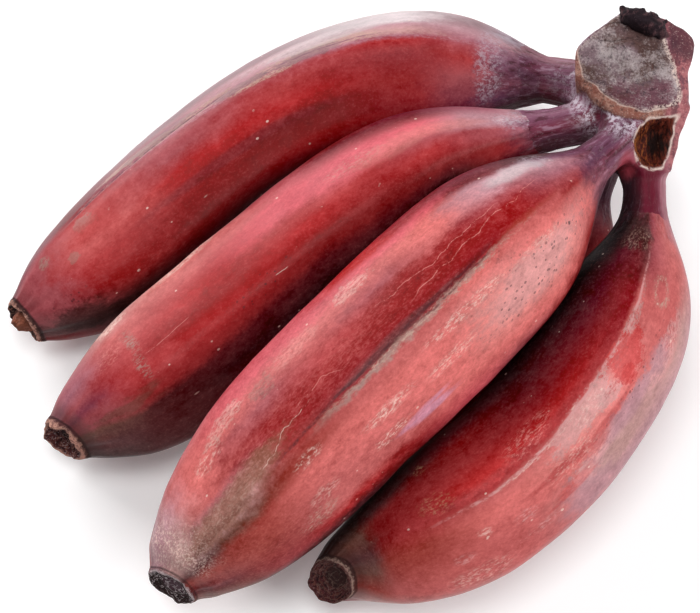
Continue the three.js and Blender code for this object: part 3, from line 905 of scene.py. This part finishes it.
        "bands": [
            (0.07, "-96 mauve, -76 lilac, -48 mauve, -38 berry, -26 wine, 8 wine, 26 dusk, 44 black"),
            (0.13, "-96 rose, -72 lilac, -40 coral, -14 rose, -4 umber, 12 umber, 32 oliveDark, 50 black"),
            (0.19, "-80 lilac, -60 coral, -42 coral, -14 rose, -5 umber, 6 maroon, 24 wine, 36 dusk, "
                   "50 black"),
            (0.3, "-92 greyRose, -76 lilac, -60 greyRose, -48 coral, -10 coral, -6 coral, -3 crimson, "
                  "12 crimson, 26 wine, 42 dusk, 54 black"),
            (0.5, "-94 greyRose, -76 lilac, -48 greyRose, -34 salmon, -16 peach, -6 coral, -3 bright, "
                  "6 scarlet, 20 crimson, 36 maroon, 52 dusk, 70 black"),
            (0.7, "-90 greyRose, -70 coral, -42 coral, -18 salmon, -8 coral, -4 bright, 6 fire, 26 bright, "
                  "44 red, 58 maroon, 80 umber"),
            (0.85, "-90 greyRose, -64 coral, -20 brick, 0 bright, 32 bright, 47 umber, 62 oliveDark"),
            (0.9, "-90 greyRose, -60 coral, -20 brick, 4 red, 34 red, 47 umber, 62 oliveDark"),
            (0.96, "-90 greyRose, -60 brick, -30 olive, 0 umber, 30 olive, 55 oliveDark"),
        ],
        "spots": [
            (0.47, -48, 0.11, 12, "lilac", 0.6, "patch"), (0.5, -14, 0.085, 8, "shell", 0.7, "patch"),
            (0.37, -9, 0.09, 3.4, "greyRose", 0.8, "worn"), (0.455, -23, 0.03, 8, "shell", 0.7, "patch"),
            (0.53, -42, 0.035, 8, "shell", 0.9, "worn"), (0.52, -56, 0.05, 6, "grey", 0.6, "patch"),
            (0.575, -48, 0.022, 7, "shell", 0.9, "patch"), (0.66, -54, 0.04, 3, "shell", 0.6, "speckled"),
            (0.79, -44, 0.02, 5, "shell", 0.5, "speckled"), (0.5, -33, 0.06, 3, "bright", 0.5, "streaky"),
            (0.36, -50, 0.07, 9, "shell", 0.8, "worn"), (0.49, -54, 0.05, 6, "beige", 0.7, "speckled"),
            (0.4, -18, 0.045, 13, "fire", 0.7, "patch"), (0.415, -28, 0.02, 7, "fire", 0.6, "patch"),
            (0.5, -16, 0.04, 7, "cream", 0.4, "speckled"), (0.62, -8, 0.1, 2, "cream", 0.6, "speckled"),
            (0.48, -54, 0.09, 8, "greyRose", 0.8, "cloudy"), (0.45, -44, 0.08, 6, "lilac", 0.7, "cloudy"),
            (0.58, -60, 0.05, 12, "lilac", 0.7, "cloudy"), (0.36, -46, 0.03, 9, "lilac", 0.6, "cloudy"),
            (0.53, -38, 0.03, 6, "coral", 0.7, "cloudy"), (0.6, -46, 0.04, 4, "fire", 0.4, "streaky"),
            (0.6, -28, 0.08, 3, "bright", 0.6, "streaky"), (0.68, -38, 0.02, 5, "shell", 0.6, "speckled"),
            (0.745, -30, 0.012, 4, "cream", 0.5, "speckled"),
            (0.78, -62, 0.05, 9, "cream", 0.4, "speckled"), (0.57, -30, 0.05, 8, "cream", 0.35, "speckled"),
            (0.6, 7, 0.055, 9, "peach", 0.75, "speckled"), (0.78, 47, 0.012, 5, "sand", 0.8, "speckled"),
            (0.79, 8, 0.03, 9, "sand", 0.6, "speckled"), (0.16, 14, 0.035, 22, "oliveDark", 0.7, "streaky"),
            # the soft black spot by the neck, on the side towards banana_3, is painted shade
            (0.175, 12, 0.025, 20, "beige", 0.5, "speckled"), (0.14, 50, 0.08, 16, "black", 0.7, "soft"),
        ],
        "lines": [(0.5, -7, 0, 0.34, 0.9, "shell", 2)], "ring": (0.263, -28, 0.026, 9),
        "scar": {"rim": "beige", "wide": 0.15, "inside": "umber", "light": "olive", "plug": "oliveDark",
                 "rings": 1, "veins": 0.2, "collar": 0.6, "dull": 0.55, "specks": 0.2},
        "motes": (0.4, -38, 0.13, 6), "bloom": (0.06, -66, 0.03, 20), "stem": 0.1, "lined": 0.25,
        "under": ("rose", 84, -98), "grain": 1.4,
    },
    "banana_5": {
        "bands": [
            (0.08, "-120 dusk, -60 plumDark, 0 plum, 60 plum, 110 berry"),
            (0.25, "-120 maroon, -60 red, 0 rose, 40 rose, 100 red"),
            (0.7, "-120 red, -60 scarlet, 0 bright, 6 coral, 60 coral, 110 bright"),
        ],
        "spots": [(0.6, 10, 0.2, 8, "cream", 0.5, "speckled")],
        "scar": {"rim": "beige", "wide": 0.3, "inside": "oliveDark", "light": "sand", "plug": "umber",
                 "rings": 0.4, "veins": 0.4, "collar": 0.6, "dull": 0.6, "specks": 0.3},
        "lines": [], "motes": (0.5, 60, 0.3, 30), "bloom": (0.13, 10, 0.03, 40), "stem": 0.5, "lined": 0.6,
        "under": ("bright", 105, -105), "grain": 1.2,
    },
}


# The plum skin of the stems, shared by the peels' necks and the crown: clouds between two plums, wine red
# in places. Gives the noises for the lines and the powder too.
def stemSkin(board, straight):
    clouds = board.noise(straight, 1.1, 3, 0.6, (1, 1, 0.5), 3)
    streaks = board.noise(straight, 7, 4, 0.65, (1, 1, 0.12), 5)
    powder = board.noise(straight, 9, 5, 0.8, (1, 1, 0.7), 9)
    colour = board.fade(skin["plumDark"], skin["plum"], 0.34, 0.58, clouds)
    colour = board.fade(colour, skin["wine"], 0.54, 0.68, board.noise(straight, 0.8, 2, shift=21), 0.75)
    return colour, streaks, powder


# Draws the stems' long dark and pale lines and their fine powder over a colour, by an amount.
def stemLines(board, colour, streaks, powder, amount):
    colour = board.over(colour, skin["dusk"], board.ease(0.52, 0.36, streaks, 0.85) * amount)
    colour = board.over(colour, skin["heather"], board.ease(0.55, 0.7, streaks, 0.55) * amount)
    return board.over(colour, skin["bloom"], board.ease(0.52, 0.72, powder, 0.3) * amount)


# A banana's peel: its bands go from one to the next along the length, spots, lines and specks lie over
# them, the neck takes the stems' skin, and the blossom end its scar. Relief comes from the same noises.
def peelMaterial(name, look):
    board = Board("redPeel" + name[-1])
    straight = board.mark("straight", "Vector")
    side, share = board.rose()
    scar = board.mark("scar")

    clouds = board.noise(straight, 1.3, 4, 0.6, (1, 1, 0.5), 2)
    streaks = board.noise(straight, 5, 2, 0.5, (1, 1, 0.12), 4)
    mottle = board.noise(straight, 4, 6, 0.78, (1, 1, 0.75), 6)
    scratch = board.noise(straight, 15, 3, 0.75, (1, 1, 0.7), 8)
    scuff = board.noise(straight, 19, 4, 0.75, (1, 1, 0.34), 12)
    where = board.together(share, side)
    breakUp = {"soft": clouds.sway(0.5), "cloudy": clouds.sway(1.7) + mottle.sway(1.4),
               "streaky": streaks.sway(2.6), "speckled": clouds.sway(1.6),
               "patch": clouds.sway(2) + mottle.sway(2.6) + scuff.sway(0.8)}
    breakUp["worn"] = breakUp["patch"]
    speckle = board.ease(0.47, 0.62, scuff + clouds.sway(0.2))

    # how far out from an oval's middle, in its own half sizes
    def oval(middle, angle, long, wide):
        shift = (-middle / long, -angle / wide, 0)
        return board.length(board.vector("MULTIPLY_ADD", where, (1 / long, 1 / wide, 0), shift))

    # an oval spot, broken up and eased to its amount
    def spot(middle, angle, long, wide, amount, kind):
        norm = oval(middle, angle, long, wide) + breakUp[kind]
        start, full = (1.2, 0.9) if kind in ("patch", "worn") else (1.35, 0.55)
        cover = board.ease(start, full, norm, amount)
        if kind == "speckled":
            cover = cover * speckle
        if kind == "worn":
            cover = cover * board.ease(0.4, 0.56, scuff)
        return cover

    # the bands, with their painted shade, sheen and lit faces, each turned and shifted a little by the noises
    # so that no edge is drawn with a ruler
    turned = side + clouds.sway(10) + mottle.sway(12)
    along = share + clouds.sway(0.08) + mottle.sway(0.05)
    bands = look["bands"]
    colour = board.round(turned, bands[0][1])
    for (here, _), (there, stops) in zip(bands, bands[1:]):
        colour = board.fade(colour, board.round(turned, stops), here, there, along)
    under, left, right = look["under"]
    colour = board.fade(colour, skin[under], left, left + 26, turned)
    colour = board.fade(colour, skin[under], right, right - 26, turned)
    scuffed = speckle * 0.1
    for middle, angle, long, wide, shade, amount, kind in look["spots"]:
        cover = spot(middle, angle, long, wide, amount, kind)
        colour = board.over(colour, skin[shade], cover)
        if kind == "speckled":
            scuffed = scuffed + cover

    # the life of the skin: clouds, streaks and mottling lighten and darken it a little everywhere
    life = clouds.sway(0.6) + streaks.sway(0.1)
    life = life + (mottle.sway(0.7) + scratch.sway(0.35)) * look["grain"]
    colour = board.vector("MULTIPLY_ADD", colour, 1 + life * 0.95, life * 0.08)
    colour = board.vector("MAXIMUM", colour, (0.001, 0.001, 0.001))
    colour = board.fade(colour, skin["peach"], 0.52, 0.74, scratch, 0.08 * look["grain"])

    # cream flecks, short scratches, dark specks
    flecks = board.dots(straight, 4.2, 0.17, 0.3, (1, 1, 0.7), 13) * board.ease(0.46, 0.56, clouds)
    dashes = board.dots(straight, 2.4, 0.09, 0.2, (1, 1, 0.3), 17) * board.ease(0.54, 0.44, clouds)
    motes = board.dots(straight, 10, 0.4, 0.5, (1, 1, 0.8), 23, scratch.sway(0.5)) * 0.7
    motes = motes + board.dots(straight, 2.6, 0.2, 0.4, (1, 1, 0.7), 27, scratch.sway(0.5))
    motes = board.maths("MINIMUM", motes, 1) * spot(*look["motes"], 1, "cloudy")
    colour = board.over(colour, skin["cream"], flecks * 0.7)
    colour = board.over(colour, skin["cream"], dashes * 0.5)
    colour = board.over(colour, skin["mote"], motes * 0.8)

    for middle, angle, slope, long, thin, shade, wave in look["lines"]:
        wobble = board.noise(straight, 1.3, 4, 0.5, (0, 0, 1), angle * 0.37).sway(wave) * 2
        drift = side + wobble - (share - middle) * slope
        near = board.ease(thin * 1.8, thin * 0.4, abs(drift - angle))
        near = near * board.ease(long, long * 0.7, abs(share - middle)) * board.ease(0.4, 0.56, mottle, 0.7)
        colour = board.over(colour, skin[shade], near)

    if "ring" in look:
        norm = oval(*look["ring"]) + clouds.sway(0.8) + mottle.sway(1.6)
        ringed = board.ease(0.36, 0.1, abs(norm - 0.9)) * (speckle * 0.7 + 0.1)
        colour = board.over(colour, skin["beige"], ringed)

    # the neck takes on the stems' own skin, and the shoulder its powdery bloom
    stemColour, stemStreaks, powder = stemSkin(board, straight)
    neck = board.ease(0.16, 0.1, share - streaks.sway(0.12))
    colour = board.over(colour, stemColour, neck * look["stem"])
    colour = stemLines(board, colour, stemStreaks, powder, neck * look["lined"])
    dusted = spot(*look["bloom"], 0.6, "cloudy") * board.ease(0.42, 0.64, powder + scratch.sway(0.5))
    colour = board.over(colour, skin["bloom"], dusted)

    # blossom end: dulled skin, then the scar's pitted rim and its dark, ringed inside
    scarLook = look["scar"]
    dull = board.ease(0.97, 1, share + mottle.sway(0.04))
    colour = board.over(colour, skin["oliveDark"], dull * scarLook["dull"])
    across = board.mark("across", "Vector")
    crumbs = board.noise(across, 9, 4, 0.75, shift=31)
    scarred = board.ease(0, 0.04, scar)
    ragged = scar + crumbs.sway(0.2) * scarred
    grit = board.noise(across, 26, 2, 0.7, shift=33)
    rings = board.maths("SINE", scar * 46 + crumbs * 7)
    colour = board.over(colour, skin["oliveDark"], scarred * scarLook["collar"])
    rim = board.fade(skin[scarLook["rim"]], skin["umber"], 0.5, 0.38, crumbs + grit.sway(0.4), 0.7)
    colour = board.fade(colour, rim, 0.05, 0.14, ragged, 0.9)
    inside = board.layers(skin, scarLook["inside"], [
        (scarLook["light"], 0.5, 0.68, crumbs + grit.sway(0.3) + rings * scarLook["rings"] * 0.14, 0.8),
        ("black", 0.52, 0.38, crumbs + rings * 0.03, 0.8),
        ("pale", 0.58, 0.68, grit + crumbs.sway(0.5), scarLook["specks"]),
        (scarLook["plug"], 0.62, 0.72, ragged, 0.8),
    ])
    veins = board.ease(0.024, 0.01, abs(board.noise(across, 2.4, 3, 0.6, shift=37) - 0.5))
    inside = board.over(inside, skin[scarLook["rim"]], veins * scarLook["veins"])
    colour = board.fade(colour, inside, -0.03, 0.03, ragged - scarLook["wide"])

    rough = 0.4 + mottle.sway(0.3) + scuffed * 0.15 + neck * 0.12 + dusted * 0.15 + scarred * 0.3
    height = streaks * 0.05 + mottle * 0.2 + neck * stemStreaks * 1.8
    height = height + scarred * (crumbs * 4 + grit + veins * 0.7)
    return board.finish(colour, rough, height, reliefMm=0.3, gloss=0.15)


for name, piece in peels.items():
    piece.data.materials.append(peelMaterial(name, peelLooks[name]))
print("peel finishes made,", round(time.time() - begun, 1), "s")

crownLook = screenColours({
    "ash": (132, 108, 114), "chalk": (190, 176, 176), "bark": (92, 66, 62), "wine": (104, 48, 64),
    "cork": (180, 134, 118), "rust": (136, 84, 72), "corkDark": (92, 58, 54), "char": (38, 26, 32),
    "charRed": (92, 62, 66), "rose": (176, 108, 110), "dusty": (138, 74, 80), "corner": (72, 40, 48),
    "amber": (158, 92, 42), "flesh": (116, 48, 34), "fleshDark": (66, 26, 22), "pit": (22, 12, 12),
    "bone": (226, 202, 192), "bloom": (196, 184, 194), "blush": (172, 66, 80), "plum": (82, 46, 60),
})


# The crown: the stems' skin below, a dusky rose strip on the right, a corky rim round the lower left of
# the grey leathery cut face, the black remnant and the torn hollow with its pale lip.
def crownMaterial():
    look = crownLook
    board = Board("cutCrown")
    straight = board.mark("straight", "Vector")
    side = board.rose()[0]
    owner = board.mark("owner")
    place = board.mark("place", "Vector")
    u, v, h = board.parts(place)
    torn = board.mark("torn", "Vector")
    tornU, _, tornH = board.parts(torn)
    cutEdge = board.mark("cutEdge")
    charEdge = board.mark("charEdge")
    scarEdge = board.mark("scarEdge")
    crumbs = board.noise(place, 5, 5, 0.72, shift=2)
    patches = board.noise(place, 1.2, 4, 0.6, shift=4)
    fine = board.noise(place, 17, 3, 0.75, shift=6)
    pale = board.noise(place, 1.8, 5, 0.7, shift=18)
    wobble = crumbs.sway(1.6)

    # each stem's own colours, as on its peel's neck, with that band's painted shade on the sides towards a
    # neighbour, then the powder and the blush beside the hollow
    stemColour, streaks, powder = stemSkin(board, straight)
    colour = board.over(skin["plum"], stemColour, 0.7)
    for order, peel in enumerate(peelLooks.values()):
        own = board.round(side + patches.sway(30), peel["bands"][0][1])
        own = board.over(own, stemColour, peel["stem"])
        own = stemLines(board, own, streaks, powder, peel["lined"])
        colour = board.fade(colour, own, 0.6, 0.4, abs(owner - order))
    dusted = board.ease(0.4, 0.6, powder + fine.sway(0.6)) * board.ease(-1.9, -0.6, h)
    dusted = dusted * board.ease(0.9, 0.4, u) * board.ease(0.36, 0.52, patches) * board.ease(-13, -5, cutEdge)
    colour = board.over(colour, look["bloom"], dusted * 0.95)
    near = board.length(board.vector("SUBTRACT", torn, (-1, -0.4, -0.3)))
    colour = board.fade(colour, look["blush"], 0.72, 0.3, near + patches.sway(0.6), 0.85)

    # the strip on the right, darker at its upper corner and along its outer edge
    right = board.ease(0.95, 1.2, u + patches.sway(0.3)) * board.ease(-2.4, -1.4, h)
    right = right * board.ease(-3, -2.6, v + crumbs.sway(0.3))
    strip = board.layers(look, "dusty", [
        ("rose", 0.42, 0.6, pale + fine.sway(0.6)), ("rose", 0.3, -1.5, v + patches.sway(2), 0.35),
        ("plum", 0.52, 0.36, crumbs + patches.sway(0.4), 0.75),
    ])
    corner = board.ease(1.1, 1.3, u + crumbs.sway(0.6)) * board.ease(0.3, 0.7, v + patches.sway(0.8))
    seam = board.ease(0.14, 0.04, abs(u - 1.36 - v * 0.06 + crumbs.sway(0.3)))
    seam = seam * board.ease(0.44, 0.56, patches, 0.6)
    strip = board.over(strip, look["corner"], board.maths("MAXIMUM", corner * 0.85, seam))
    strip = board.fade(strip, look["bone"], 0.56, 0.74, fine + crumbs.sway(0.3), 0.5)
    colour = board.over(colour, strip, right * 0.92)

    # the corky rim, between the cut face and a line not far below it
    cork = board.layers(look, "cork", [
        ("rust", 0.38, 0.54, pale + crumbs.sway(0.6)),
        ("corkDark", 0.5, 0.38, crumbs + patches.sway(0.3), 0.95),
        ("corkDark", -1.8, -3.4, cutEdge + wobble, 0.6), ("bone", 0.54, 0.7, fine, 0.35),
        ("bone", 0.5, 0.1, abs(cutEdge + wobble * 0.4 + 0.1), 0.5),
    ])
    rim = board.ease(-4, -3.2, cutEdge + wobble * 0.5) * board.ease(1.15, 0.9, u)
    rim = rim * board.ease(-1.75, -1.55, v) * board.ease(0.9, 0.5, v) * board.ease(-1, -0.7, h)
    colour = board.over(colour, cork, rim)

    # the cut face: purple grey, brown towards the remnant, wine low down, whitish across the middle
    high = v + u * 0.4
    band = board.ease(0.55, 0, abs(high - 0.35 + patches.sway(1.6)), 0.16)
    face = board.layers(look, "ash", [
        ("bark", 0.4, 0.66, patches + crumbs.sway(0.6)), ("wine", -0.1, -0.7, v + patches.sway(2), 0.7),
        ("bark", 0.5, 1.1, high + patches.sway(2), 0.85),
        ("chalk", 0.46, 0.78, pale + band + fine.sway(0.45), 0.85),
        ("char", 0.5, 0.3, crumbs + fine.sway(0.4), 0.6), ("bone", 0.56, 0.78, fine, 0.3),
    ])
    cut = board.ease(-0.25, 0.35, cutEdge + wobble * 0.5) * board.ease(-0.75, -0.5, h)
    colour = board.over(colour, face, cut)
    line = board.ease(1.1, 0.2, abs(cutEdge + wobble - 0.3)) * board.ease(-0.6, -0.35, h)
    line = line * board.ease(0.42, 0.56, fine + crumbs.sway(0.4))
    colour = board.over(colour, look["bone"], line * board.ease(0.2, 0.9, u, 0.75) + line * 0.2)

    charred = board.layers(look, "char", [
        ("charRed", 0.5, 0.66, streaks + crumbs.sway(0.6)), ("ash", 0.58, 0.78, fine + crumbs.sway(0.3), 0.5),
    ])
    onChar = board.ease(0.45, 0.1, charEdge + wobble * 0.3)
    colour = board.over(colour, charred, onChar)

    # the hollow: amber fibres on the left, red brown, a dark pit right of the middle, a thin pale lip
    grainy = board.noise(torn, 9, 4, 0.75, (1.6, 0.4, 0.6), 3)
    pit = board.length(board.vector("MULTIPLY_ADD", torn, (1, 0.7, 0), (-0.2, -0.08, 0)))
    flesh = board.layers(look, "fleshDark", [
        ("flesh", 0.4, 0.56, grainy), ("amber", 0.5, 0.62, grainy - tornU * 0.2 - 0.04, 0.9),
        ("pit", 0.45, 0.1, pit + grainy.sway(0.8), 0.9), ("bone", 0.64, 0.78, grainy, 0.5),
    ])
    inHollow = board.ease(0.25, -0.35, scarEdge + wobble * 0.3) * board.ease(-0.8, -0.6, tornH)
    lip = board.ease(0.75, 0.15, abs(scarEdge - 0.1 + wobble * 0.7)) * board.ease(-0.5, -0.3, tornH)
    colour = board.over(colour, look["bone"], lip * board.ease(0.36, 0.54, crumbs, 0.9))
    colour = board.over(colour, flesh, inHollow)

    rough = 0.5 + cut * 0.25 + onChar * 0.15 + rim * 0.2 + inHollow * 0.1 + crumbs.sway(0.2)
    height = (streaks * 1.2 + powder * 0.3) * (1 - right) + crumbs * 0.5 + cut * (crumbs * 1.2 + fine)
    height = height + rim * (crumbs + fine) + onChar * crumbs * 3 + inHollow * grainy * 3
    return board.finish(colour, rough, height, reliefMm=0.35, gloss=0.15)


crownPiece.data.materials.append(crownMaterial())
print("crown finish made,", round(time.time() - begun, 1), "s")

stage = {
    "floorSize": 6, "floor": (0.92, 0.92, 0.92, 1), "floorGlow": 0.16, "floorRoughness": 0.7,
    "world": (0.96, 0.97, 1, 1), "worldStrength": 0.16,
    "lights": {
        "backLeftSoft": {"at": (-0.75, 0.8, 0.62), "size": 0.7, "watts": 13},
        "rightSoft": {"at": (0.95, -0.3, 0.7), "size": 0.6, "watts": 8},
        "topSoft": {"at": (-0.1, -0.1, 1.5), "size": 0.7, "watts": 10},
    },
}
# The view looks down the slope of elevation degrees at the target.
view = {"target": (0.0013, -0.0055, 0.0301), "elevation": 66, "distance": 0.6, "lens": 110, "sensor": 36,
        "nearest": 0.01}

bpy.ops.mesh.primitive_plane_add(size=stage["floorSize"])
floor = bpy.context.object
floor.name = "floor"
floorBoard = Board("paleFloor")
floorBoard.feed(floorBoard.shader, {
    "Base Color": stage["floor"], "Roughness": stage["floorRoughness"],
    "Emission Color": stage["floor"], "Emission Strength": stage["floorGlow"],
})
floor.data.materials.append(floorBoard.material)

for name, look in stage["lights"].items():
    lamp = bpy.data.lights.new(name, "AREA")
    lamp.energy = look["watts"]
    lamp.size = look["size"]
    holder = bpy.data.objects.new(name, lamp)
    holder.location = look["at"]
    holder.rotation_euler = (-holder.location).to_track_quat("-Z", "Y").to_euler()
    bpy.context.scene.collection.objects.link(holder)

world = bpy.data.worlds.new("paleRoom")
world.use_nodes = True
world.node_tree.nodes["Background"].inputs["Color"].default_value = stage["world"]
world.node_tree.nodes["Background"].inputs["Strength"].default_value = stage["worldStrength"]
bpy.context.scene.world = world

slope = math.radians(view["elevation"])
camera = bpy.data.objects.new("camera", bpy.data.cameras.new("camera"))
camera.data.lens = view["lens"]
camera.data.sensor_width = view["sensor"]
camera.data.clip_start = view["nearest"]
camera.location = (view["target"][0], view["target"][1] - view["distance"] * math.cos(slope),
                   view["target"][2] + view["distance"] * math.sin(slope))
camera.rotation_euler = (math.pi / 2 - slope, 0, 0)
bpy.context.scene.collection.objects.link(camera)
bpy.context.scene.camera = camera
bpy.context.scene.view_settings.view_transform = "Standard"
